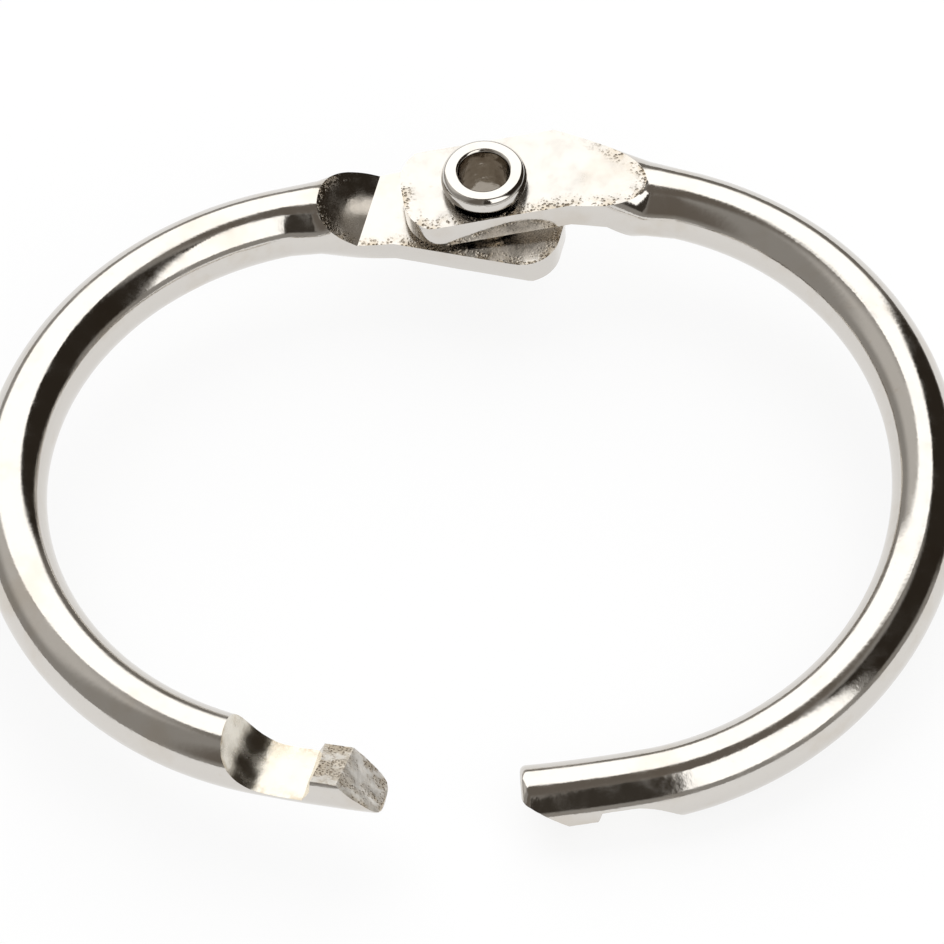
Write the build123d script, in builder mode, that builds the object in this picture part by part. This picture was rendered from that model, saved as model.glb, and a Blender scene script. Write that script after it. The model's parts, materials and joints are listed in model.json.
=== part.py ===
"""Hinged binder ring: two wire halves that swing on a hollow rivet and hook together at their tips.

Millimetres, +Z up. The origin is on the rivet's axis, midway between the two lugs. The ring lies about
the XY plane with its mouth towards -Y. Both halves have one form, which is drawn closed and level as the
left half, whose lug is the lower one. The right half is the same form turned over, and only the place of
the rivet's hole in the lug differs.
"""
import os
from math import asin, cos, degrees, radians, sin

from build123d import *

# Wire and ring
wire_d = 3.0
ring_inner_d = 25.4
lug_above_wire = 0.65  # the lug's middle, outside the top of the bend's centreline
lug_run = 2.15  # from the rivet across to the top of the bend
nose_bend_r = 60.0  # the wire runs straighter from the bottom of the bend to the tip
nose_overlap = 6.0  # length that the two noses share when closed
tip_bevel = 0.25

# Lugs, coined flat from the wire's ends
lug_w = 4.35
lug_t = 1.225
lug_crown = 3.2  # half height of the oval that the lug is pressed from
hole_offset = 0.43  # from the lug's middle, away from the mouth on the left half and towards it on the right
lug_past_rivet = 3.5
lug_corner_r = 1.7
lug_straight = 3.5  # from the rivet to where the lug starts to turn into the wire
lug_flat = 5.0  # from the rivet to the foot of the shoulder
lug_gap = 0.2  # between the two lugs when the halves are level
shoulder_run = 2.0
neck_end = 8.4  # from the rivet across to where the wire is round again
neck_relief = 0.1  # the shoulder's cut leaves the neck this far outside the round wire

# Clasp, cut into each nose from the side that the other nose lies on. The cuts lean in the same way through
# both noses, so they lie face to face when closed: the lower nose is cut on its inner side, the upper nose on
# its outer side. Heights are from the line midway between the two noses, square to each leaning cut.
hook_lean = 25.0
notch_lean = 10.0
nose_rise = 0.1  # top of the hook, past that line
tip_drop = 1.2  # top of the blunt tip, short of that line
tip_run = 1.7  # slope from the tip to the top of the hook
hook_run = 2.75  # from the tip to the back of the hook
step_run = 0.35
notch_depth = 0.6  # floor of the notch, short of that line
notch_flat = 1.2
notch_exit = 0.3  # the round back of the notch ends this far outside the wire
hook_clearance = 0.05  # between the two hooks as they pass

# Hollow rivet with a rolled rim at each end
rivet_bore_d = 2.2
rivet_wall = 0.3
rim_d = 3.72
rim_h = 0.75
rim_outer_r = 0.26
rim_under_r = 0.2
rim_mouth_r = 0.12
pivot_clearance = 0.05  # on the radius, between the rivet and each lug's hole
rim_clearance = 0.05  # along the axis, between each rim and the lug beside it

# Pose at rest: swung part open, with the right half rocked over against the upper rim
open_each = 11.2
rock_rest = 7.9

# Values worked out from those above
wire_r = wire_d / 2
bend_r = ring_inner_d / 2 + wire_r
clasp_y = -lug_above_wire - 2 * bend_r
tip_x = nose_overlap / 2
nose_arc = degrees(asin((tip_x + lug_run) / nose_bend_r))
lug_edge = lug_w / 2 + hole_offset  # from the rivet to the left lug's inner edge, the line of rocking
lug_face_z = lug_gap / 2
lug_back_z = lug_face_z + lug_t
neck_angle = asin((neck_end - lug_run) / bend_r)
rivet_r = rivet_bore_d / 2 + rivet_wall
hook_lift = (2 * nose_rise + hook_clearance) / cos(radians(hook_lean))
rock_heading = -2 * open_each  # of that edge, in the right half's own frame
rock_lift = degrees(asin(hook_lift / (-clasp_y * cos(radians(rock_heading)) - lug_edge)))
lean_back = lug_back_z * sin(radians(rock_rest)) + lug_edge * (1 - cos(radians(rock_rest)))
lean_forward = lug_back_z * sin(radians(rock_lift))
lower_rim_z = -lug_back_z - rim_clearance
upper_rim_z = lug_back_z + (rim_d / 2 + lug_edge) * sin(radians(rock_rest)) + rim_clearance
cut_margin = 2.0  # how far the cutting shapes reach past the metal


def ring_half(lug_y, hole_r, hole_at, lean_way):
    """One half, closed and level, its lug below the middle plane, with a hole for the rivet."""
    bend_y = lug_y - lug_above_wire - bend_r
    nose_y = bend_y - bend_r
    lug_section = Plane(origin=(-lug_straight, lug_y, 0), x_dir=(0, 1, 0), z_dir=(1, 0, 0))
    wire_section = Plane(
        origin=(-lug_run - bend_r * sin(neck_angle), bend_y + bend_r * cos(neck_angle), 0),
        x_dir=(-sin(neck_angle), cos(neck_angle), 0),
        z_dir=(cos(neck_angle), sin(neck_angle), 0),
    )
    hook_section, notch_section = (
        Plane(origin=(0, clasp_y, 0), x_dir=(1, 0, 0), z_dir=(0, -cos(lean), lean_way * sin(lean)))
        for lean in (radians(hook_lean), radians(notch_lean))
    )
    with BuildPart() as half:
        # Lug: an oval bar, with the corners of its end rounded in plan
        with BuildSketch(lug_section):
            Ellipse(lug_w / 2, lug_crown)
        extrude(amount=lug_straight + lug_past_rivet)
        with BuildSketch(Plane.XY.offset(-lug_crown)):
            with Locations((-lug_straight, lug_y)):
                RectangleRounded(2 * (lug_straight + lug_past_rivet), lug_w, lug_corner_r)
        extrude(amount=2 * lug_crown, mode=Mode.INTERSECT)

        # Neck: from the oval to the round wire
        with BuildSketch(lug_section):
            Ellipse(lug_w / 2, lug_crown)
        with BuildSketch(wire_section):
            Circle(wire_r)
        loft()

        # Wire: the long bend, then the straighter nose with its bevelled tip
        with BuildSketch(wire_section):
            Circle(wire_r)
        bend_axis = Axis((-lug_run, bend_y, 0), (0, 0, 1))
        revolve(axis=bend_axis, revolution_arc=180 - degrees(neck_angle))
        with BuildSketch(Plane.YZ.offset(-lug_run)):
            with Locations((nose_y, 0)):
                Circle(wire_r)
        revolve(axis=Axis((-lug_run, nose_y + nose_bend_r, 0), (0, 0, 1)), revolution_arc=nose_arc)
        tip_face = half.faces().filter_by(GeomType.PLANE).sort_by_distance((tip_x, nose_y, 0))[0]
        chamfer(tip_face.edges(), tip_bevel)

        # Lug faces: both sides pressed flat, with a sloping shoulder up to the round wire
        shoulder_x = -lug_flat - shoulder_run
        lug_end_x = lug_past_rivet + cut_margin
        with BuildSketch(Plane.XZ.offset(-lug_y - lug_w / 2 - cut_margin)):
            for face_z, side in ((-lug_face_z, 1), (-lug_back_z, -1)):
                with BuildLine():
                    Polyline(
                        (lug_end_x, face_z),
                        (-lug_flat, face_z),
                        (shoulder_x, side * wire_r),
                        (-neck_end, side * (wire_r + neck_relief)),
                        (-neck_end, side * (lug_crown + cut_margin)),
                        (lug_end_x, side * (lug_crown + cut_margin)),
                        close=True,
                    )
                make_face()
        extrude(amount=lug_w + 3 * cut_margin, mode=Mode.SUBTRACT)

        # Clasp: a hook behind the tip, then a notch with a round back
        hook_x = tip_x - hook_run
        notch_x = hook_x - step_run - notch_flat
        notch_r = notch_depth + wire_r + notch_exit
        clear_z = wire_r + cut_margin
        with BuildSketch(hook_section):
            with BuildLine():
                Polyline(
                    (hook_x - step_run, clear_z),
                    (tip_x + cut_margin, clear_z),
                    (tip_x + cut_margin, -tip_drop),
                    (tip_x, -tip_drop),
                    (tip_x - tip_run, nose_rise),
                    (hook_x - step_run, nose_rise),
                    close=True,
                )
            make_face()
        with BuildSketch(notch_section):
            with BuildLine():
                Polyline(
                    (notch_x - notch_r, notch_r - notch_depth),
                    (notch_x - notch_r, clear_z),
                    (hook_x, clear_z),
                    (hook_x, nose_rise),
                    (hook_x - step_run, -notch_depth),
                    (notch_x, -notch_depth),
                )
                CenterArc((notch_x, notch_r - notch_depth), notch_r, 270, -90)
            make_face()
        extrude(amount=wire_d, both=True, mode=Mode.SUBTRACT)

        # Rivet hole
        with Locations((*hole_at, wire_r)):
            Hole(hole_r)
    return half.part


# Left half: runs close on the rivet
left_form = ring_half(-hole_offset, rivet_r + pivot_clearance, (0, 0), 1)
with BuildPart() as left_half:
    add(left_form, rotation=(0, 0, -open_each))

# Right half: its hole is wide enough for it to rock both ways about the level pose
rock_slack = (lean_back + lean_forward) / 2
hole_shift = Vector(0, lean_back - rock_slack).rotate(Axis.Z, -rock_heading)
right_hole_r = rivet_r + pivot_clearance + rock_slack
right_form = ring_half(hole_offset, right_hole_r, (hole_shift.X, hole_shift.Y), -1)
right_form = right_form.rotate(Axis.Y, 180)
rock_axis = Axis((0, -lug_edge, 0), (1, 0, 0)).located(Location((0, 0, 0), (0, 0, rock_heading)))
right_form = right_form.rotate(rock_axis, rock_rest)
with BuildPart() as right_half:
    add(right_form, rotation=(0, 0, open_each))

# Rivet: a tube, its ends rolled over into rims
with BuildPart() as rivet:
    with BuildSketch(Plane.XZ):
        for rim_z in (lower_rim_z - rim_h, upper_rim_z):
            with Locations((rivet_bore_d / 2, rim_z)):
                Rectangle((rim_d - rivet_bore_d) / 2, rim_h, align=(Align.MIN, Align.MIN))
        with Locations((rivet_bore_d / 2, lower_rim_z)):
            Rectangle(rivet_wall, upper_rim_z - lower_rim_z, align=(Align.MIN, Align.MIN))
    revolve(axis=Axis.Z)
    rim_edges = rivet.edges().filter_by(GeomType.CIRCLE).group_by(SortBy.RADIUS)[-1].sort_by(Axis.Z)
    mouth_edges = rivet.edges().filter_by(GeomType.CIRCLE).group_by(SortBy.RADIUS)[0]
    fillet([rim_edges[0], rim_edges[-1]], rim_outer_r)
    rim_edges = rivet.edges().filter_by(GeomType.CIRCLE).group_by(SortBy.RADIUS)[-1].sort_by(Axis.Z)
    fillet([rim_edges[1], rim_edges[-2]], rim_under_r)
    fillet(mouth_edges, rim_mouth_r)

left_half.part.label = "left_half_ring"
right_half.part.label = "right_half_ring"
rivet.part.label = "hollow_rivet"

os.makedirs("parts", exist_ok=True)
for piece in (left_half.part, right_half.part, rivet.part):
    export_step(piece, f"parts/{piece.label}.step")

# Hinge places and ranges, for the record
rock_at = Vector(0, -lug_edge).rotate(Axis.Z, -open_each)
print(f"swing range {-2 * open_each} to open, rock range 0 to {rock_rest + rock_lift:.3f}")
print(f"rock axis through ({rock_at.X:.4f}, {rock_at.Y:.4f}, 0), heading {-open_each}")
print(f"rivet bore from {lower_rim_z - rim_h:.3f} to {upper_rim_z + rim_h:.3f}")
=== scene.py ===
"""Looks of a hinged binder ring: two plated wire halves on a hollow rivet, in a small white studio.

The halves and the rivet are built in millimetres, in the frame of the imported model, and scaled to metres
when they are finished.
"""

import json
import logging
from dataclasses import dataclass, field
from enum import Enum
from math import asin, cos, degrees, pi, radians, sin, sqrt
from typing import Iterable, Sequence

import bmesh
import bpy
from mathutils import Matrix, Vector, noise
from mathutils.kdtree import KDTree


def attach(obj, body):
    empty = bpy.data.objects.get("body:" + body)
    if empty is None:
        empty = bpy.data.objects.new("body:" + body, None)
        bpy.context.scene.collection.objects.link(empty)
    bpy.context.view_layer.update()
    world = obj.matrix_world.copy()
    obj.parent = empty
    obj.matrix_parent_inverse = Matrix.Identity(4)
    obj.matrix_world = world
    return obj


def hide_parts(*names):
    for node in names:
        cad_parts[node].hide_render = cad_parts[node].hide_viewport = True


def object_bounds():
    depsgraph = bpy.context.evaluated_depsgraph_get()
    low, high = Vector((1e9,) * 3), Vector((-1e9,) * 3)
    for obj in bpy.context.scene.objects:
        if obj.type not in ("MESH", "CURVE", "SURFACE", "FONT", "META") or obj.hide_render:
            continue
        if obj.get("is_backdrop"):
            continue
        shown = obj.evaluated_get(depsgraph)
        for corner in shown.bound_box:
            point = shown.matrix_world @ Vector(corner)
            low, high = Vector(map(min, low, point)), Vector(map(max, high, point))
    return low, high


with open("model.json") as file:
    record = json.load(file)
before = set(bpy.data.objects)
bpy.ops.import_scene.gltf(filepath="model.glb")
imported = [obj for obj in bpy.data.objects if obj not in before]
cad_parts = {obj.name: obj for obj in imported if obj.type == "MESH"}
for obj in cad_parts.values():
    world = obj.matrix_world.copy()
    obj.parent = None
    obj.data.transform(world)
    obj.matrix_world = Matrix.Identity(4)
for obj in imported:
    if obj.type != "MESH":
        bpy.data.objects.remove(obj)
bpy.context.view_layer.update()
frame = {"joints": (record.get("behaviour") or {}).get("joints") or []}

LOG = logging.getLogger("binder_ring")
MM = 0.001
SHARP_DEG = 32.0
Z_AXIS = Vector((0.0, 0.0, 1.0))
UPRIGHT = Matrix(((1, 0, 0, 0), (0, 0, -1, 0), (0, 1, 0, 0), (0, 0, 0, 1)))


class Finish(Enum):
    """Material slots of a ring half, in the order of its material indices."""

    WIRE = 0
    PRESSED = 1
    SHEARED = 2
    NOTCHED = 3


class Side(Enum):
    """Which half of the ring is built; the value is the sign of its lean and its swing."""

    LEFT = 1
    RIGHT = -1


def joint_named(name: str) -> dict:
    """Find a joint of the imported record.

    Args:
        name: The joint's name.

    Returns:
        The joint's entry.
    """
    return next(j for j in frame["joints"] if j["name"] == name)


# ---------------------------------------------------------------- materials


class NodeBoard:
    """A thin wrapper round a node tree, to add and link nodes in few words."""

    def __init__(self, tree: bpy.types.NodeTree) -> None:
        """Empty the tree.

        Args:
            tree: The node tree to fill.
        """
        self.tree = tree
        tree.nodes.clear()

    def add(self, kind: str, settings: dict | None = None, **inputs: object) -> bpy.types.Node:
        """Add one node, set its properties, then its inputs.

        Args:
            kind: The node's type name.
            settings: Node properties by name.
            **inputs: Socket values or output sockets by input name, with spaces written as "_".

        Returns:
            The new node.
        """
        node = self.tree.nodes.new(kind)
        for name, value in (settings or {}).items():
            setattr(node, name, value)
        for name, value in inputs.items():
            key = int(name[1:]) if name[0] == "i" and name[1:].isdigit() else name.replace("_", " ")
            socket = node.inputs[key]
            if isinstance(value, bpy.types.NodeSocket):
                self.tree.links.new(value, socket)
            else:
                socket.default_value = value
        return node

    def math(self, operation: str, first: object, second: object = 0.0,
             clamp: bool = False) -> bpy.types.NodeSocket:
        """Add a Math node.

        Args:
            operation: The operation's name.
            first: First value or socket.
            second: Second value or socket.
            clamp: Whether the result is kept between 0 and 1.

        Returns:
            The result's socket.
        """
        settings = {"operation": operation, "use_clamp": clamp}
        return self.add("ShaderNodeMath", settings, i0=first, i1=second).outputs[0]

    def ramp(self, value: bpy.types.NodeSocket, low: float, high: float, to_low: float = 0.0,
             to_high: float = 1.0) -> bpy.types.NodeSocket:
        """Add a Map Range node with eased ends, clamped at both.

        Args:
            value: The socket to map.
            low: Value that maps to to_low.
            high: Value that maps to to_high.
            to_low: Result at the low end.
            to_high: Result at the high end.

        Returns:
            The result's socket.
        """
        node = self.add("ShaderNodeMapRange", {"interpolation_type": "SMOOTHSTEP"}, Value=value)
        for key, number in (("From Min", low), ("From Max", high), ("To Min", to_low), ("To Max", to_high)):
            node.inputs[key].default_value = number
        return node.outputs["Result"]

    def mix(self, factor: object, first: object, second: object) -> bpy.types.NodeSocket:
        """Add a colour Mix node.

        Args:
            factor: Share of the second colour.
            first: First colour or socket.
            second: Second colour or socket.

        Returns:
            The mixed colour's socket.
        """
        node = self.tree.nodes.new("ShaderNodeMix")
        node.data_type = "RGBA"
        for index, value in ((0, factor), (6, first), (7, second)):
            if isinstance(value, bpy.types.NodeSocket):
                self.tree.links.new(value, node.inputs[index])
            elif index:
                node.inputs[index].default_value = (*value[:3], 1.0)
            else:
                node.inputs[index].default_value = value
        return node.outputs[2]

    def noise(self, place: bpy.types.NodeSocket, size_mm: float, detail: float = 2.0,
              rough: float = 0.5, stretch: Sequence[float] = (1.0, 1.0, 1.0)) -> bpy.types.NodeSocket:
        """Add a Noise texture whose grains have about a given size.

        Args:
            place: Coordinates in metres.
            size_mm: Size of the grains.
            detail: Number of octaves.
            rough: Share of the finer octaves.
            stretch: Scale of the pattern along each axis.

        Returns:
            The noise's value socket.
        """
        mapped = self.add("ShaderNodeMapping", None, Vector=place, Scale=tuple(stretch)).outputs[0]
        return self.add(
            "ShaderNodeTexNoise", None, Vector=mapped, Scale=1000.0 / size_mm, Detail=detail, Roughness=rough
        ).outputs[0]


@dataclass(frozen=True)
class PlatedMetal:
    """Bright nickel plate on steel, with uneven gloss and a fine mottle."""

    name: str
    tint: tuple[float, float, float] = (0.66, 0.632, 0.594)
    stain: tuple[float, float, float] = (0.56, 0.49, 0.40)
    stain_share: float = 0.35
    gloss_low: float = 0.05
    gloss_high: float = 0.16
    mottle_mm: float = 0.22
    mottle_depth_mm: float = 0.0028
    wave_mm: float = 1.6
    wave_depth_mm: float = 0.006
    pit_share: float = 0.0
    pit_mm: float = 0.3
    pit_tint: tuple[float, float, float] = (0.22, 0.17, 0.12)
    burr_tint: tuple[float, float, float] = (0.5, 0.42, 0.31)
    line_depth_mm: float = 0.0

    def make(self) -> bpy.types.Material:
        """Build the material.

        Returns:
            The material.
        """
        material = bpy.data.materials.new(self.name)
        material.use_nodes = True
        board = NodeBoard(material.node_tree)
        place = board.add("ShaderNodeTexCoord").outputs["Object"]

        blotch = board.noise(place, 2.6, 3.0, 0.6)
        stained = board.ramp(blotch, 0.5, 0.72, 0.0, self.stain_share)
        colour = board.mix(stained, self.tint, self.stain)
        grain = board.noise(place, self.mottle_mm, 3.0, 0.6)
        colour = board.mix(board.ramp(grain, 0.62, 0.8, 0.0, 0.35), colour, self.stain)
        rough = board.ramp(board.noise(place, 0.9, 3.0, 0.6), 0.3, 0.75, self.gloss_low, self.gloss_high)

        height = board.math("MULTIPLY", grain, self.mottle_depth_mm)
        wave = board.math("MULTIPLY", board.noise(place, self.wave_mm, 1.0, 0.4), self.wave_depth_mm)
        height = board.math("ADD", height, wave)
        if self.line_depth_mm:
            lines = board.noise(place, 0.12, 2.0, 0.5, (1.0, 0.12, 0.3))
            height = board.math("ADD", height, board.math("MULTIPLY", lines, self.line_depth_mm))
        if self.pit_share:
            cells = board.add(
                "ShaderNodeTexVoronoi", {"feature": "F1"}, Vector=place, Scale=1000.0 / self.pit_mm
            ).outputs["Distance"]
            patch = board.noise(place, 0.8, 3.0, 0.7)
            edge = 0.62 - 0.35 * self.pit_share
            pits = board.math("MULTIPLY", board.ramp(patch, edge, edge + 0.12), board.ramp(cells, 0.55, 0.2))
            worn = board.add("ShaderNodeAttribute", {"attribute_name": "worn"}).outputs["Fac"]
            pits = board.math("MULTIPLY", pits, worn)
            burr = board.math("MULTIPLY", board.ramp(patch, 0.4, 0.6, 0.0, 0.8), worn)
            colour = board.mix(burr, colour, self.burr_tint)
            colour = board.mix(pits, colour, self.pit_tint)
            rough = board.math("ADD", rough, board.math("MULTIPLY", pits, 0.3))
            height = board.math("SUBTRACT", height, board.math("MULTIPLY", pits, 0.02))

        bump = board.add("ShaderNodeBump", None, Strength=1.0, Distance=MM, Height=height)
        shader = board.add(
            "ShaderNodeBsdfPrincipled", None, Base_Color=colour, Metallic=1.0, Roughness=rough,
            Normal=bump.outputs[0],
        )
        board.add("ShaderNodeOutputMaterial", None, Surface=shader.outputs[0])
        return material


# ---------------------------------------------------------------- mesh helpers


def finish_mesh(bm: bmesh.types.BMesh, name: str, materials: Sequence[bpy.types.Material] = (),
                sharp_deg: float = SHARP_DEG) -> bpy.types.Object:
    """Turn a bmesh into a linked object, smooth but for its sharp edges, in the same units.

    Args:
        bm: The mesh, which is freed.
        name: The object's name.
        materials: The object's material slots, in order.
        sharp_deg: Faces that meet at more than this angle keep a sharp edge.

    Returns:
        The new object.
    """
    bmesh.ops.recalc_face_normals(bm, faces=bm.faces)
    for face in bm.faces:
        face.smooth = True
    mesh = bpy.data.meshes.new(name)
    bm.to_mesh(mesh)
    bm.free()
    mesh.set_sharp_from_angle(angle=radians(sharp_deg))
    for material in materials:
        mesh.materials.append(material)
    piece = bpy.data.objects.new(name, mesh)
    bpy.context.scene.collection.objects.link(piece)
    return piece


def ring_of(edges: Iterable[bmesh.types.BMEdge]) -> list[bmesh.types.BMVert]:
    """Put the vertices of one closed loop of edges in order.

    Args:
        edges: The loop's edges.

    Returns:
        Its vertices, in order round the loop.
    """
    links: dict[bmesh.types.BMVert, list[bmesh.types.BMVert]] = {}
    for edge in edges:
        a, b = edge.verts
        links.setdefault(a, []).append(b)
        links.setdefault(b, []).append(a)
    start = next(iter(links))
    order, last, here = [start], None, start
    while True:
        step = next(v for v in links[here] if v is not last)
        if step is start:
            return order
        order.append(step)
        last, here = here, step


def extrude_loop(bm: bmesh.types.BMesh, edges: list[bmesh.types.BMEdge],
                 place: dict[bmesh.types.BMVert, Vector]) -> tuple[list, dict]:
    """Extrude a loop of edges and put each new vertex where its old one is told to go.

    Args:
        bm: The mesh.
        edges: The loop's edges.
        place: Where the copy of each old vertex goes.

    Returns:
        The new loop's edges, and the new vertex of each old one.
    """
    made = bmesh.ops.extrude_edge_only(bm, edges=edges)["geom"]
    new_edges = [g for g in made if isinstance(g, bmesh.types.BMEdge)]
    new_verts = {g for g in made if isinstance(g, bmesh.types.BMVert)}
    copies = {}
    for old in place:
        for edge in old.link_edges:
            other = edge.other_vert(old)
            if other in new_verts:
                copies[old] = other
                break
    for old, new in copies.items():
        new.co = place[old]
    loop = [e for e in new_edges if e.verts[0] in new_verts and e.verts[1] in new_verts]
    return loop, copies


def cut(piece: bpy.types.Object, cutter: bpy.types.Object) -> None:
    """Cut one closed shape out of a piece and throw the cutter away.

    Args:
        piece: The piece that is cut.
        cutter: The shape that is taken out; its material indices mark the new faces.
    """
    modifier = piece.modifiers.new("cut", "BOOLEAN")
    modifier.operation, modifier.solver, modifier.object = "DIFFERENCE", "EXACT", cutter
    modifier.material_mode = "INDEX"
    graph = bpy.context.evaluated_depsgraph_get()
    result = bpy.data.meshes.new_from_object(piece.evaluated_get(graph))
    piece.modifiers.clear()
    old = piece.data
    piece.data = result
    result.name = old.name
    bpy.data.meshes.remove(old)
    bpy.data.objects.remove(cutter)


@dataclass(frozen=True)
class Roughness:
    """How far a cutter's face wanders, so that the cut it leaves isn't flat."""

    depth: float = 0.0
    size: float = 0.5
    seed: float = 0.0

    def at(self, point: Vector) -> float:
        """Give the height of the roughness at one point.

        Args:
            point: The point, in millimetres.

        Returns:
            The height, in millimetres.
        """
        spot = point / self.size + Vector((self.seed, 0.0, 0.0))
        coarse = noise.noise(spot)
        fine = noise.noise(spot * 2.7 + Vector((11.0, 3.0, 7.0)))
        return self.depth * (coarse + 0.5 * fine)


def prism(name: str, outline: Sequence[tuple[float, float]], frame_of: Matrix, depth: float,
          steps: int, finish: Finish, roughness: Roughness, fine_edge: float) -> bpy.types.Object:
    """Build a cutter: an outline swept both ways along its own normal, with rough sides.

    Args:
        name: The cutter's name.
        outline: The outline's corners, in the local plane.
        frame_of: The local frame: x and y in the plane, z along the sweep.
        depth: How far it is swept each way.
        steps: Number of steps of the sweep.
        finish: The finish of the faces that it leaves.
        roughness: How rough the sides are.
        fine_edge: Longest edge that the outline may keep.

    Returns:
        The cutter.
    """
    bm = bmesh.new()
    verts = [bm.verts.new((x, y, -depth)) for x, y in outline]
    edges = [bm.edges.new((a, b)) for a, b in zip(verts, verts[1:] + verts[:1])]
    for edge in list(edges):
        pieces = int(edge.calc_length() / fine_edge)
        if pieces > 1:
            bmesh.ops.subdivide_edges(bm, edges=[edge], cuts=pieces)
    edges = list(bm.edges)
    bmesh.ops.spin(
        bm, geom=list(bm.verts) + edges, cent=(0, 0, 0), axis=(0, 0, 1), dvec=(0, 0, 2 * depth / steps),
        angle=0.0, steps=steps, use_merge=False, use_duplicate=False,
    )
    bmesh.ops.recalc_face_normals(bm, faces=bm.faces)
    bm.normal_update()
    rims = [e for e in bm.edges if e.is_boundary]
    moved = [(v, v.normal * roughness.at(frame_of @ v.co)) for v in bm.verts]
    for vert, shift in moved:
        vert.co += Vector((shift.x, shift.y, 0.0))
    bmesh.ops.edgeloop_fill(bm, edges=rims)
    for face in bm.faces:
        face.material_index = finish.value
    bmesh.ops.transform(bm, matrix=frame_of, verts=bm.verts)
    return finish_mesh(bm, name)


# ---------------------------------------------------------------- ring halves


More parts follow.
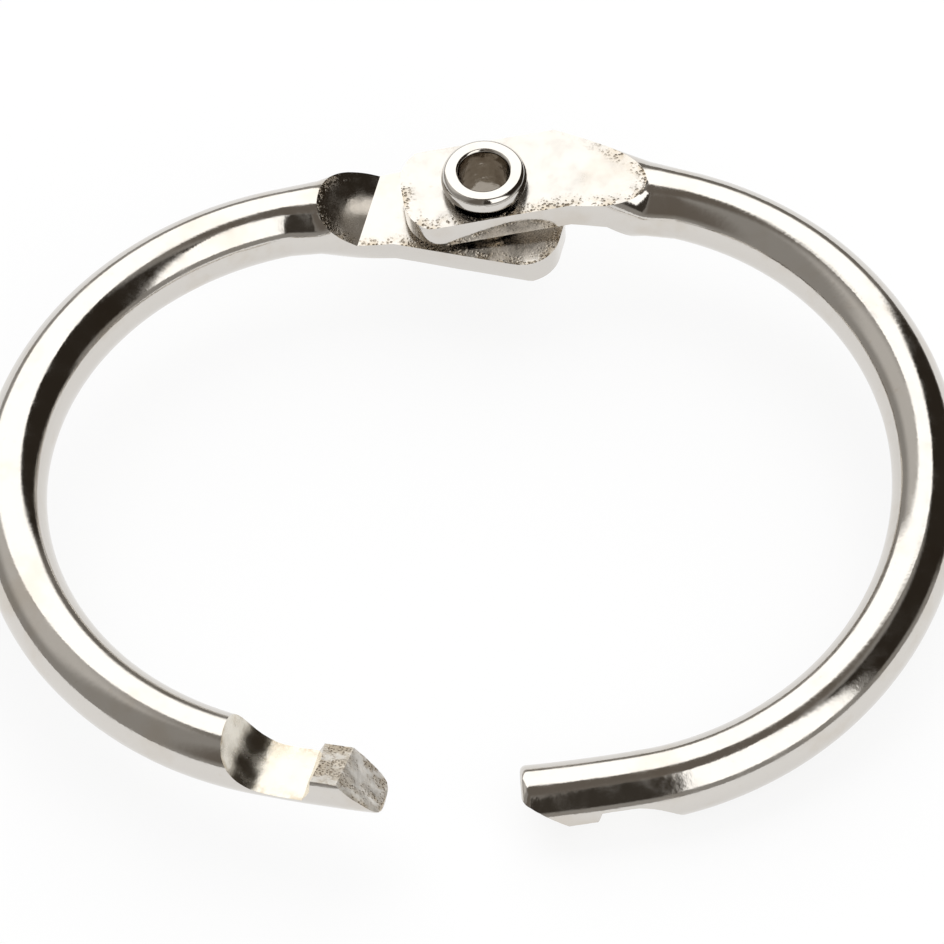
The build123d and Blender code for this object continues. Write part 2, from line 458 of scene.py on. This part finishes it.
@dataclass
class RingHalf:
    """One half of the ring: a wire with one end pressed into a lug and the other cut into a hooked nose."""

    side: Side
    name: str
    body: str
    node: str
    wire_r: float = 1.5
    bend_r: float = 14.2
    lug_above_wire: float = 0.65
    lug_run: float = 2.15
    nose_bend_r: float = 60.0
    tip_x: float = 3.0
    tip_bevel: float = 0.25
    lug_w: float = 4.35
    lug_crown: float = 3.2
    hole_offset: float = 0.43
    lug_past_rivet: float = 3.5
    lug_corner_r: float = 1.7
    lug_straight: float = 3.5
    lug_flat: float = 5.0
    lug_face: float = 0.1
    lug_back: float = 1.325
    shoulder_run: float = 2.0
    neck_end: float = 8.4
    neck_relief: float = 0.1
    hook_lean: float = 25.0
    notch_lean: float = 10.0
    nose_rise: float = 0.1
    tip_drop: float = 1.2
    tip_run: float = 1.7
    hook_run: float = 2.75
    step_run: float = 0.35
    notch_depth: float = 0.6
    notch_flat: float = 1.2
    notch_exit: float = 0.3
    hole_r: float = 1.45
    rock_rest: float = 7.9
    round_steps: int = 72
    bend_steps: int = 150
    nose_steps: int = 14
    neck_steps: int = 14
    lug_step: float = 0.25
    ripple_depth: float = 0.014
    ripple_mm: float = 5.5
    fine_ripple_mm: float = 2.1
    fine_ripple_share: float = 0.35
    play: float = 0.111
    play_shift: tuple[float, float] = (-0.0365, 0.0887)
    outer_fade: float = 0.95
    clear: float = 2.0
    materials: list[bpy.types.Material] = field(default_factory=list)

    @property
    def lug_y(self) -> float:
        """Middle of the lug, from the rivet's axis."""
        return -self.hole_offset * self.side.value

    @property
    def bend_y(self) -> float:
        """Centre of the long bend."""
        return self.lug_y - self.lug_above_wire - self.bend_r

    @property
    def clasp_y(self) -> float:
        """Line midway between the two noses, from which the clasp is cut."""
        return -self.lug_above_wire - 2 * self.bend_r

    @property
    def nose_y(self) -> float:
        """Centreline of the wire at the bottom of the bend."""
        return self.bend_y - self.bend_r

    @property
    def neck_angle(self) -> float:
        """Angle of the bend at which the round wire begins."""
        return asin((self.neck_end - self.lug_run) / self.bend_r)

    def oval(self, k: int, x: float) -> Vector:
        """Give a point of the oval bar that the lug is pressed from.

        Args:
            k: Which vertex of the section.
            x: Where along the lug.

        Returns:
            The point.
        """
        turn = 2 * pi * k / self.round_steps
        half = self.lug_w / 2
        y, z = half * cos(turn), self.lug_crown * sin(turn)
        rounding = x - (self.lug_past_rivet - self.lug_corner_r)
        if rounding > 0:
            reach = half - self.lug_corner_r + sqrt(max(self.lug_corner_r**2 - rounding**2, 0.0))
            y = max(-reach, min(reach, y))
        return Vector((x, self.lug_y + y, z))

    def build_wire(self, bm: bmesh.types.BMesh) -> None:
        """Spin the round wire along its bend and its nose, then draw the neck and the lug from its start.

        Args:
            bm: The mesh to add to.
        """
        angle = self.neck_angle
        outward = Vector((-sin(angle), cos(angle), 0.0))
        centre = Vector((-self.lug_run, self.bend_y, 0.0)) + self.bend_r * outward
        section = bmesh.ops.create_circle(bm, cap_ends=False, segments=self.round_steps, radius=self.wire_r)
        start = section["verts"]
        order = ring_of(bm.edges)
        for k, vert in enumerate(order):
            turn = 2 * pi * k / self.round_steps
            vert.co = centre + self.wire_r * (cos(turn) * outward + sin(turn) * Z_AXIS)
        first_edges = list(bm.edges)
        bend = bmesh.ops.spin(
            bm, geom=start + first_edges, cent=(-self.lug_run, self.bend_y, 0), axis=(0, 0, 1),
            dvec=(0, 0, 0), angle=pi - angle, steps=self.bend_steps, use_merge=False, use_duplicate=False,
        )
        arc = asin((self.tip_x + self.lug_run) / self.nose_bend_r)
        nose = bmesh.ops.spin(
            bm, geom=bend["geom_last"], cent=(-self.lug_run, self.nose_y + self.nose_bend_r, 0),
            axis=(0, 0, 1), dvec=(0, 0, 0), angle=arc, steps=self.nose_steps, use_merge=False,
            use_duplicate=False,
        )
        tip_edges = [g for g in nose["geom_last"] if isinstance(g, bmesh.types.BMEdge)]
        bmesh.ops.edgeloop_fill(bm, edges=tip_edges)
        bmesh.ops.bevel(
            bm, geom=tip_edges, offset=self.tip_bevel, offset_type="OFFSET", segments=3, profile=0.5,
            affect="EDGES", material=-1,
        )
        loop, ring = first_edges, list(order)
        shoulder_x = self.lug_flat + self.shoulder_run
        crown_from = (self.neck_end - shoulder_x) / (self.neck_end - self.lug_straight)
        for step in range(1, self.neck_steps + 1):
            share = step / self.neck_steps
            place = {}
            for k, vert in enumerate(ring):
                turn = 2 * pi * k / self.round_steps
                wire_point = centre + self.wire_r * (cos(turn) * outward + sin(turn) * Z_AXIS)
                place[vert] = wire_point.lerp(self.oval(k, -self.lug_straight), share)
                rise = max(0.0, (share - crown_from) / (1.0 - crown_from))
                place[vert].z = wire_point.z + (self.oval(k, -self.lug_straight).z - wire_point.z) * rise
            loop, copies = extrude_loop(bm, loop, place)
            ring = [copies[v] for v in ring]
        corner_x = self.lug_past_rivet - self.lug_corner_r
        count = int((corner_x + self.lug_straight) / self.lug_step)
        stations = [-self.lug_straight + self.lug_step * i for i in range(1, count + 1)]
        stations += [corner_x + self.lug_corner_r * sin(radians(7.5 * i)) for i in range(1, 13)]
        for x in stations:
            loop, copies = extrude_loop(bm, loop, {v: self.oval(k, x) for k, v in enumerate(ring)})
            ring = [copies[v] for v in ring]
        bmesh.ops.edgeloop_fill(bm, edges=loop)

    def ripple(self, bm: bmesh.types.BMesh) -> None:
        """Give the drawn wire the faint unevenness that bending leaves.

        Args:
            bm: The mesh to move.
        """
        bmesh.ops.recalc_face_normals(bm, faces=bm.faces)
        bm.normal_update()
        seed = Vector((3.1 * self.side.value, 0.0, 5.0))
        for vert in bm.verts:
            fine = noise.noise(vert.co / self.fine_ripple_mm + seed)
            swell = noise.noise(vert.co / self.ripple_mm + seed) + self.fine_ripple_share * fine
            vert.co += vert.normal * self.ripple_depth * (swell - 0.5)

    def face_cutters(self) -> list[bpy.types.Object]:
        """Build the two presses that flatten the lug.

        Returns:
            The cutters.
        """
        tools = []
        shoulder_x = -self.lug_flat - self.shoulder_run
        end_x = self.lug_past_rivet + self.clear
        clear = self.lug_crown + self.clear
        sideways = Matrix.Translation((0, self.lug_y, 0)) @ UPRIGHT
        for face_z, way in ((-self.lug_face, 1), (-self.lug_back, -1)):
            outline = [
                (end_x, face_z), (-self.lug_flat, face_z), (shoulder_x, way * self.wire_r),
                (-self.neck_end, way * (self.wire_r + self.neck_relief)), (-self.neck_end, way * clear),
                (end_x, way * clear),
            ]
            tools.append(
                prism(f"press_{way}", outline, sideways, self.lug_w, 40, Finish.PRESSED,
                      Roughness(0.012, 0.9, 4.0 * way), 0.3)
            )
        return tools

    def clasp_cutters(self) -> list[bpy.types.Object]:
        """Build the two punches that shear the hook and the notch into the nose.

        Returns:
            The cutters.
        """
        hook_x = self.tip_x - self.hook_run
        foot_x = hook_x - self.step_run
        notch_x = foot_x - self.notch_flat
        notch_r = self.notch_depth + self.wire_r + self.notch_exit
        floor = -self.notch_depth
        clear = self.wire_r + self.clear
        hook = [
            (foot_x, clear), (self.tip_x + self.clear, clear), (self.tip_x + self.clear, -self.tip_drop),
            (self.tip_x, -self.tip_drop), (self.tip_x - self.tip_run, self.nose_rise),
            (foot_x, self.nose_rise),
        ]
        notch = [
            (notch_x - notch_r, notch_r + floor), (notch_x - notch_r, clear), (hook_x, clear),
            (hook_x, self.nose_rise), (foot_x, floor), (notch_x, floor),
        ]
        for i in range(1, 12):
            turn = radians(270 - 7.5 * i)
            notch.append((notch_x + notch_r * cos(turn), notch_r + floor + notch_r * sin(turn)))
        tools = []
        for name, outline, lean_deg, rough in (
            ("hook_punch", hook, self.hook_lean, Roughness(0.035, 0.45, 9.0)),
            ("notch_punch", notch, self.notch_lean, Roughness(0.025, 0.8, 5.0)),
        ):
            lean = radians(lean_deg) * self.side.value
            down = Vector((0.0, -cos(lean), sin(lean)))
            across = Vector((1.0, 0.0, 0.0))
            turned = Matrix((across, down.cross(across), down)).transposed().to_4x4()
            local = Matrix.Translation((0, self.clasp_y, 0)) @ turned
            finish = Finish.SHEARED if outline is hook else Finish.NOTCHED
            tools.append(prism(name, outline, local, 2 * self.wire_r, 34, finish, rough, 0.16))
        return tools

    def drill(self) -> bpy.types.Object:
        """Build the drill for the rivet's hole.

        Returns:
            The cutter.
        """
        bm = bmesh.new()
        drill_r = self.hole_r + self.rock_slack
        bmesh.ops.create_cone(
            bm, cap_ends=True, segments=64, radius1=drill_r, radius2=drill_r, depth=4 * self.wire_r,
            matrix=Matrix.Translation((self.hole_at.x, self.hole_at.y, 0)),
        )
        for face in bm.faces:
            face.material_index = Finish.PRESSED.value
        return finish_mesh(bm, "drill")

    @property
    def rock_slack(self) -> float:
        """How much wider than a running fit the upper lug's hole is."""
        return 0.0 if self.side is Side.LEFT else self.play

    @property
    def hole_at(self) -> Vector:
        """Centre of the hole in the lug, before the half is turned over."""
        return Vector((0.0, 0.0)) if self.side is Side.LEFT else Vector(self.play_shift)

    def place(self) -> Matrix:
        """Give the move from the closed, level form to the pose at rest.

        Returns:
            The matrix, in metres.
        """
        swing = -radians(joint_named("swing")["range_deg"][0]) / 2
        if self.side is Side.LEFT:
            return Matrix.Rotation(-swing, 4, "Z")
        rock = joint_named("rock")
        at, axis = Vector(rock["pos_m"]), Vector(rock["axis"])
        turn = Matrix.Rotation(-radians(self.rock_rest), 4, axis)
        tip = Matrix.Translation(at) @ turn @ Matrix.Translation(-at)
        return tip @ Matrix.Rotation(swing, 4, "Z") @ Matrix.Rotation(pi, 4, "Y")

    def mark_worn(self, mesh: bpy.types.Mesh) -> None:
        """Store how pitted each vertex may be, which is most beside the edges that a tool left.

        Args:
            mesh: The cut mesh, in millimetres.
        """
        finishes: dict[tuple[int, int], set[int]] = {}
        at_vertex = [0] * len(mesh.vertices)
        for face in mesh.polygons:
            for key in face.edge_keys:
                finishes.setdefault(key, set()).add(face.material_index)
            for index in face.vertices:
                at_vertex[index] = max(at_vertex[index], face.material_index)
        rims = {index for key, found in finishes.items() if len(found) > 1 for index in key}
        tree = KDTree(len(rims))
        for index in rims:
            tree.insert(mesh.vertices[index].co, index)
        tree.balance()
        reach = {Finish.WIRE: 0.2, Finish.PRESSED: 0.6, Finish.SHEARED: 2.4, Finish.NOTCHED: 0.5}
        worn = mesh.attributes.new("worn", "FLOAT", "POINT")
        for vertex, finish in zip(mesh.vertices, at_vertex):
            share = max(0.0, 1.0 - tree.find(vertex.co)[2] / reach[Finish(finish)])
            outer = min(1.0, max(0.0, vertex.co.y - self.lug_y))
            worn.data[vertex.index].value = share * (1.0 - self.outer_fade * outer)

    def build(self) -> bpy.types.Object:
        """Build the half in its pose at rest.

        Returns:
            The finished piece.
        """
        bm = bmesh.new()
        self.build_wire(bm)
        bmesh.ops.remove_doubles(bm, verts=bm.verts, dist=1e-5)
        self.ripple(bm)
        piece = finish_mesh(bm, self.name, self.materials)
        LOG.info("%s: %d faces before it is cut", self.name, len(piece.data.polygons))
        for tool in (*self.face_cutters(), *self.clasp_cutters(), self.drill()):
            LOG.info("cut with %s", tool.name)
            cut(piece, tool)
            LOG.info("%s: %d faces", self.name, len(piece.data.polygons))
        self.mark_worn(piece.data)
        piece.data.transform(self.place() @ Matrix.Scale(MM, 4))
        piece.data.set_sharp_from_angle(angle=radians(SHARP_DEG))
        return piece

    def dress(self, piece: bpy.types.Object) -> None:
        """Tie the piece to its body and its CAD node.

        Args:
            piece: The finished piece.
        """
        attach(piece, self.body)
        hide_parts(self.node)


# ---------------------------------------------------------------- rivet


@dataclass
class HollowRivet:
    """The tube that both lugs turn on, with its two ends rolled over."""

    bore_r: float = 1.1
    wall: float = 0.3
    rim_r: float = 1.86
    rim_h: float = 0.75
    lower_rim_z: float = -1.375
    upper_rim_z: float = 1.989
    roll_r: float = 0.3
    roll_drop: float = 0.46
    under_r: float = 0.2
    mouth_r: float = 0.16
    steps: int = 96

    def profile(self) -> list[tuple[float, float]]:
        """Draw half of the rivet's section, from the upper mouth outwards and down to the lower one.

        Returns:
            Points of radius and height, as a closed outline.
        """
        points: list[tuple[float, float]] = []

        def corner(r: float, z: float, radius: float, start: float, drop: float = 0.0,
                   count: int = 7) -> None:
            """Add a rounded corner.

            Args:
                r: Radius of the corner's centre.
                z: Height of the corner's centre.
                radius: Radius of the rounding.
                start: Angle at which it starts.
                drop: Height of the rounding, where it is not round.
                count: Number of steps.
            """
            for i in range(count + 1):
                angle = radians(start - 90.0 * i / count)
                points.append((r + radius * cos(angle), z + (drop or radius) * sin(angle)))

        top = self.upper_rim_z + self.rim_h
        low = self.lower_rim_z - self.rim_h
        shank = self.bore_r + self.wall
        corner(self.bore_r + self.mouth_r, top - self.mouth_r, self.mouth_r, 180)
        corner(self.rim_r - self.roll_r, top - self.roll_drop, self.roll_r, 90, self.roll_drop)
        corner(self.rim_r - self.under_r, self.upper_rim_z + self.under_r, self.under_r, 0)
        points.append((shank, self.upper_rim_z))
        points.append((shank, self.lower_rim_z))
        corner(self.rim_r - self.under_r, self.lower_rim_z - self.under_r, self.under_r, 90)
        corner(self.rim_r - self.roll_r, low + self.roll_drop, self.roll_r, 0, self.roll_drop)
        corner(self.bore_r + self.mouth_r, low + self.mouth_r, self.mouth_r, 270)
        return points

    def build(self, materials: Sequence[bpy.types.Material]) -> bpy.types.Object:
        """Spin the section round the rivet's axis.

        Args:
            materials: The plate outside, and the plate inside the hole, coloured darker as painted shade in
                the hollow of the tube.

        Returns:
            The finished piece.
        """
        bm = bmesh.new()
        verts = [bm.verts.new((r, 0.0, z)) for r, z in self.profile()]
        for a, b in zip(verts, verts[1:] + verts[:1]):
            bm.edges.new((a, b))
        bmesh.ops.subdivide_edges(bm, edges=[e for e in bm.edges if e.calc_length() > 0.6], cuts=7)
        bmesh.ops.spin(
            bm, geom=list(bm.verts) + list(bm.edges), cent=(0, 0, 0), axis=(0, 0, 1), dvec=(0, 0, 0),
            angle=2 * pi, steps=self.steps, use_merge=True, use_duplicate=False,
        )
        for vert in bm.verts:
            flat = Vector((vert.co.x, vert.co.y, 0.0))
            dent = 0.012 * noise.noise(vert.co / 0.8)
            vert.co += flat.normalized() * dent * (1.0 if flat.length > self.bore_r + self.wall else 0.3)
        # Faces inside the hole take the second material, whose dark colour is painted shade.
        inside = self.bore_r + 0.02
        for face in bm.faces:
            middle = face.calc_center_median()
            face.material_index = 1 if Vector((middle.x, middle.y)).length < inside else 0
        bmesh.ops.scale(bm, vec=(MM, MM, MM), verts=bm.verts)
        return finish_mesh(bm, "rivet_tube", materials)

    def dress(self, piece: bpy.types.Object) -> None:
        """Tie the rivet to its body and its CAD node.

        Args:
            piece: The finished piece.
        """
        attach(piece, "rivet")
        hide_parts("hollow_rivet")


# ---------------------------------------------------------------- studio


@dataclass(frozen=True)
class Panel:
    """One patch of the light tent, between two headings and two heights, in degrees."""

    left: float
    right: float
    low: float
    high: float
    tint: tuple[float, float, float]
    soft: float = 3.0


@dataclass
class Studio:
    """White floor and world, a tent that the metal mirrors, and plain soft lamps."""

    floor_z: float
    tent_r: float = 1.2
    base: tuple[float, float, float] = (0.33, 0.315, 0.295)
    panels: tuple[Panel, ...] = (
        Panel(-100, -50, 24, 66, (0.62, 0.6, 0.57), 10),
        Panel(-178, -140, 10, 90, (0.16, 0.14, 0.12), 8),
        Panel(-180, 180, 74, 100, (0.16, 0.14, 0.12), 5),
        Panel(-52, 34, 14, 74, (1.7, 1.69, 1.66), 2.5),
        Panel(2, 42, -12, 19, (0.2, 0.185, 0.165), 5),
        Panel(34, 112, 3, 68, (0.03, 0.024, 0.018), 4),
        Panel(84, 114, -4, 13, (0.3, 0.285, 0.265), 4),
        Panel(116, 161, 16, 76, (1.7, 1.69, 1.66), 1.5),
        Panel(161, 182, 14, 76, (0.05, 0.043, 0.035), 3),
    )

    def white_share(self, board: NodeBoard) -> bpy.types.NodeSocket:
        """Add the test for rays that show the plain background.

        Args:
            board: The node tree.

        Returns:
            1 for camera, mirror and glass rays, else 0.
        """
        path = board.add("ShaderNodeLightPath")
        seen = board.math("ADD", path.outputs["Is Camera Ray"], path.outputs["Is Glossy Ray"], True)
        return board.math("ADD", seen, path.outputs["Is Transmission Ray"], True)

    def build_world(self) -> None:
        """Make the world white to look at and a plain fill light otherwise."""
        world = bpy.data.worlds.new("white_room")
        bpy.context.scene.world = world
        world.use_nodes = True
        board = NodeBoard(world.node_tree)
        fill = board.add("ShaderNodeBackground", None, Color=(1, 1, 1, 1), Strength=0.5)
        white = board.add("ShaderNodeBackground", None, Color=(1, 1, 1, 1), Strength=1.0)
        share = self.white_share(board)
        mixed = board.add("ShaderNodeMixShader", None, Fac=share, i1=fill.outputs[0], i2=white.outputs[0])
        board.add("ShaderNodeOutputWorld", None, Surface=mixed.outputs[0])

    def build_floor(self) -> None:
        """Lay the floor: white, with the object's soft shadow on it."""
        bm = bmesh.new()
        bmesh.ops.create_circle(bm, cap_ends=True, segments=96, radius=3.0)
        bmesh.ops.translate(bm, vec=(0, 0, self.floor_z), verts=bm.verts)
        mesh = bpy.data.meshes.new("floor")
        bm.to_mesh(mesh)
        bm.free()
        floor = bpy.data.objects.new("floor", mesh)
        bpy.context.scene.collection.objects.link(floor)
        material = bpy.data.materials.new("floor_paper")
        material.use_nodes = True
        board = NodeBoard(material.node_tree)
        place = board.add("ShaderNodeTexCoord").outputs["Object"]
        distance = board.add("ShaderNodeVectorMath", {"operation": "LENGTH"}, i0=place).outputs["Value"]
        share = board.math("MULTIPLY", board.ramp(distance, 0.03, 0.09, 0.82, 1.0), self.white_share(board))
        paper = board.add("ShaderNodeBsdfDiffuse", None, Color=(0.9, 0.9, 0.9, 1), Roughness=0.0)
        white = board.add("ShaderNodeEmission", None, Color=(1, 1, 1, 1), Strength=1.0)
        mixed = board.add("ShaderNodeMixShader", None, Fac=share, i1=paper.outputs[0], i2=white.outputs[0])
        board.add("ShaderNodeOutputMaterial", None, Surface=mixed.outputs[0])
        mesh.materials.append(material)
        floor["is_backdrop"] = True

    def build_tent(self) -> None:
        """Hang the tent: a dome of pale and dark panels, which only the metal's mirroring shows."""
        bm = bmesh.new()
        bmesh.ops.create_icosphere(bm, subdivisions=4, radius=self.tent_r)
        bmesh.ops.bisect_plane(
            bm, geom=list(bm.verts) + list(bm.edges) + list(bm.faces), plane_co=(0, 0, self.floor_z + 0.0005),
            plane_no=(0, 0, 1), clear_inner=True,
        )
        mesh = bpy.data.meshes.new("tent")
        bm.to_mesh(mesh)
        bm.free()
        tent = bpy.data.objects.new("tent", mesh)
        bpy.context.scene.collection.objects.link(tent)
        material = bpy.data.materials.new("tent_panels")
        material.use_nodes = True
        board = NodeBoard(material.node_tree)
        place = board.add("ShaderNodeTexCoord").outputs["Object"]
        unit = board.add("ShaderNodeVectorMath", {"operation": "NORMALIZE"}, i0=place).outputs[0]
        parts = board.add("ShaderNodeSeparateXYZ", None, Vector=unit)
        to_degrees = degrees(1.0)
        heading = board.math("ARCTAN2", parts.outputs["X"], parts.outputs["Y"])
        heading = board.math("MULTIPLY", heading, to_degrees)
        height = board.math("MULTIPLY", board.math("ARCSINE", parts.outputs["Z"]), to_degrees)
        colour: object = self.base
        for panel in self.panels:
            s = panel.soft
            inside = board.math("MULTIPLY", board.ramp(heading, panel.left - s, panel.left + s),
                                board.ramp(heading, panel.right + s, panel.right - s))
            inside = board.math("MULTIPLY", inside, board.ramp(height, panel.low - s, panel.low + s))
            inside = board.math("MULTIPLY", inside, board.ramp(height, panel.high + s, panel.high - s))
            colour = board.mix(inside, colour, panel.tint)
        glow = board.add("ShaderNodeEmission", None, Color=colour, Strength=1.0)
        board.add("ShaderNodeOutputMaterial", None, Surface=glow.outputs[0])
        mesh.materials.append(material)
        tent.visible_camera = False
        tent.visible_diffuse = False
        tent.visible_shadow = False
        tent.visible_transmission = False
        tent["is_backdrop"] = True

    def build_lamps(self) -> None:
        """Hang one large soft lamp at the back and one at the front."""
        for name, spot, size, power in (
            ("lamp_back", (-0.08, 0.45, 0.55), 0.9, 4.2),
            ("lamp_front", (0.35, -0.35, 0.5), 0.9, 2.4),
        ):
            lamp = bpy.data.lights.new(name, "AREA")
            lamp.size, lamp.energy = size, power
            holder = bpy.data.objects.new(name, lamp)
            bpy.context.scene.collection.objects.link(holder)
            holder.location = spot
            holder.rotation_euler = Vector(spot).to_track_quat("Z", "Y").to_euler()
            holder.visible_glossy = False

    def build(self) -> None:
        """Build the whole studio."""
        self.build_world()
        self.build_floor()
        self.build_tent()
        self.build_lamps()


@dataclass(frozen=True)
class Viewpoint:
    """The main camera: where it aims, from which side, and how long its lens is."""

    aim: tuple[float, float, float] = (0.0, -0.0142, 0.0)
    heading: float = 5.409
    height: float = 54.004
    roll: float = -3.476
    across: float = 0.000043
    upward: float = 0.000102
    distance: float = 0.21791
    lens: float = 198.221

    def build(self) -> None:
        """Make the camera and give it to the scene."""
        e, a, r = radians(self.height), radians(self.heading), radians(self.roll)
        back = Vector((sin(a) * cos(e), -cos(a) * cos(e), sin(e)))
        right = Vector((cos(a), sin(a), 0.0))
        up = back.cross(right)
        x_axis = cos(r) * right + sin(r) * up
        y_axis = -sin(r) * right + cos(r) * up
        data = bpy.data.cameras.new("camera")
        data.lens, data.sensor_width = self.lens, 36.0
        data.clip_start, data.clip_end = 0.01, 20.0
        camera = bpy.data.objects.new("camera", data)
        bpy.context.scene.collection.objects.link(camera)
        turn = Matrix((x_axis, y_axis, back)).transposed()
        spot = Vector(self.aim) + back * self.distance + x_axis * self.across + y_axis * self.upward
        camera.matrix_world = Matrix.Translation(spot) @ turn.to_4x4()
        bpy.context.scene.camera = camera


def main() -> None:
    """Build every piece, then the studio and the camera."""
    logging.basicConfig(level=logging.INFO, format="%(name)s: %(message)s")
    wire = PlatedMetal("nickel_wire").make()
    pressed = PlatedMetal(
        "nickel_pressed", gloss_low=0.12, gloss_high=0.28, mottle_depth_mm=0.003, pit_share=0.55, pit_mm=0.14
    ).make()
    sheared = PlatedMetal(
        "nickel_sheared", tint=(0.82, 0.79, 0.74), gloss_low=0.34, gloss_high=0.5, stain_share=0.4,
        stain=(0.62, 0.54, 0.4), mottle_depth_mm=0.007, pit_share=0.5, pit_mm=0.12, line_depth_mm=0.01,
    ).make()
    notched = PlatedMetal(
        "nickel_notched", tint=(0.72, 0.68, 0.6), stain=(0.66, 0.56, 0.4), stain_share=0.6, gloss_low=0.16,
        gloss_high=0.34, mottle_depth_mm=0.006, pit_share=0.15, pit_mm=0.14,
    ).make()
    tube = PlatedMetal("nickel_tube", gloss_low=0.06, gloss_high=0.18, mottle_depth_mm=0.002).make()
    # Painted shade: the inside of the rivet's tube is coloured dark brown for the shade that falls in the
    # hollow; the low roughness and the waves give it glints.
    painted_shade_bore = PlatedMetal(
        "nickel_bore_painted_shade", tint=(0.36, 0.32, 0.27), stain=(0.2, 0.16, 0.12), stain_share=0.8, gloss_low=0.05,
        gloss_high=0.16, mottle_depth_mm=0.006, wave_mm=0.7, wave_depth_mm=0.07,
    ).make()

    finishes = [wire, pressed, sheared, notched]
    halves = (
        RingHalf(Side.LEFT, "left_wire", "left_half", "left_half_ring", materials=finishes),
        RingHalf(Side.RIGHT, "right_wire", "right_half", "right_half_ring", materials=finishes),
    )
    for half in halves:
        piece = half.build()
        half.dress(piece)
        LOG.info("%s: %d faces", piece.name, len(piece.data.polygons))
    rivet = HollowRivet()
    piece = rivet.build([tube, painted_shade_bore])
    rivet.dress(piece)
    LOG.info("%s: %d faces", piece.name, len(piece.data.polygons))

    low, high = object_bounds()
    Studio(floor_z=low.z - 0.00002).build()
    Viewpoint().build()
    bpy.context.scene.view_settings.view_transform = "Standard"
    LOG.info("box %s to %s", tuple(low), tuple(high))


if __name__ == "__main__":
    main()
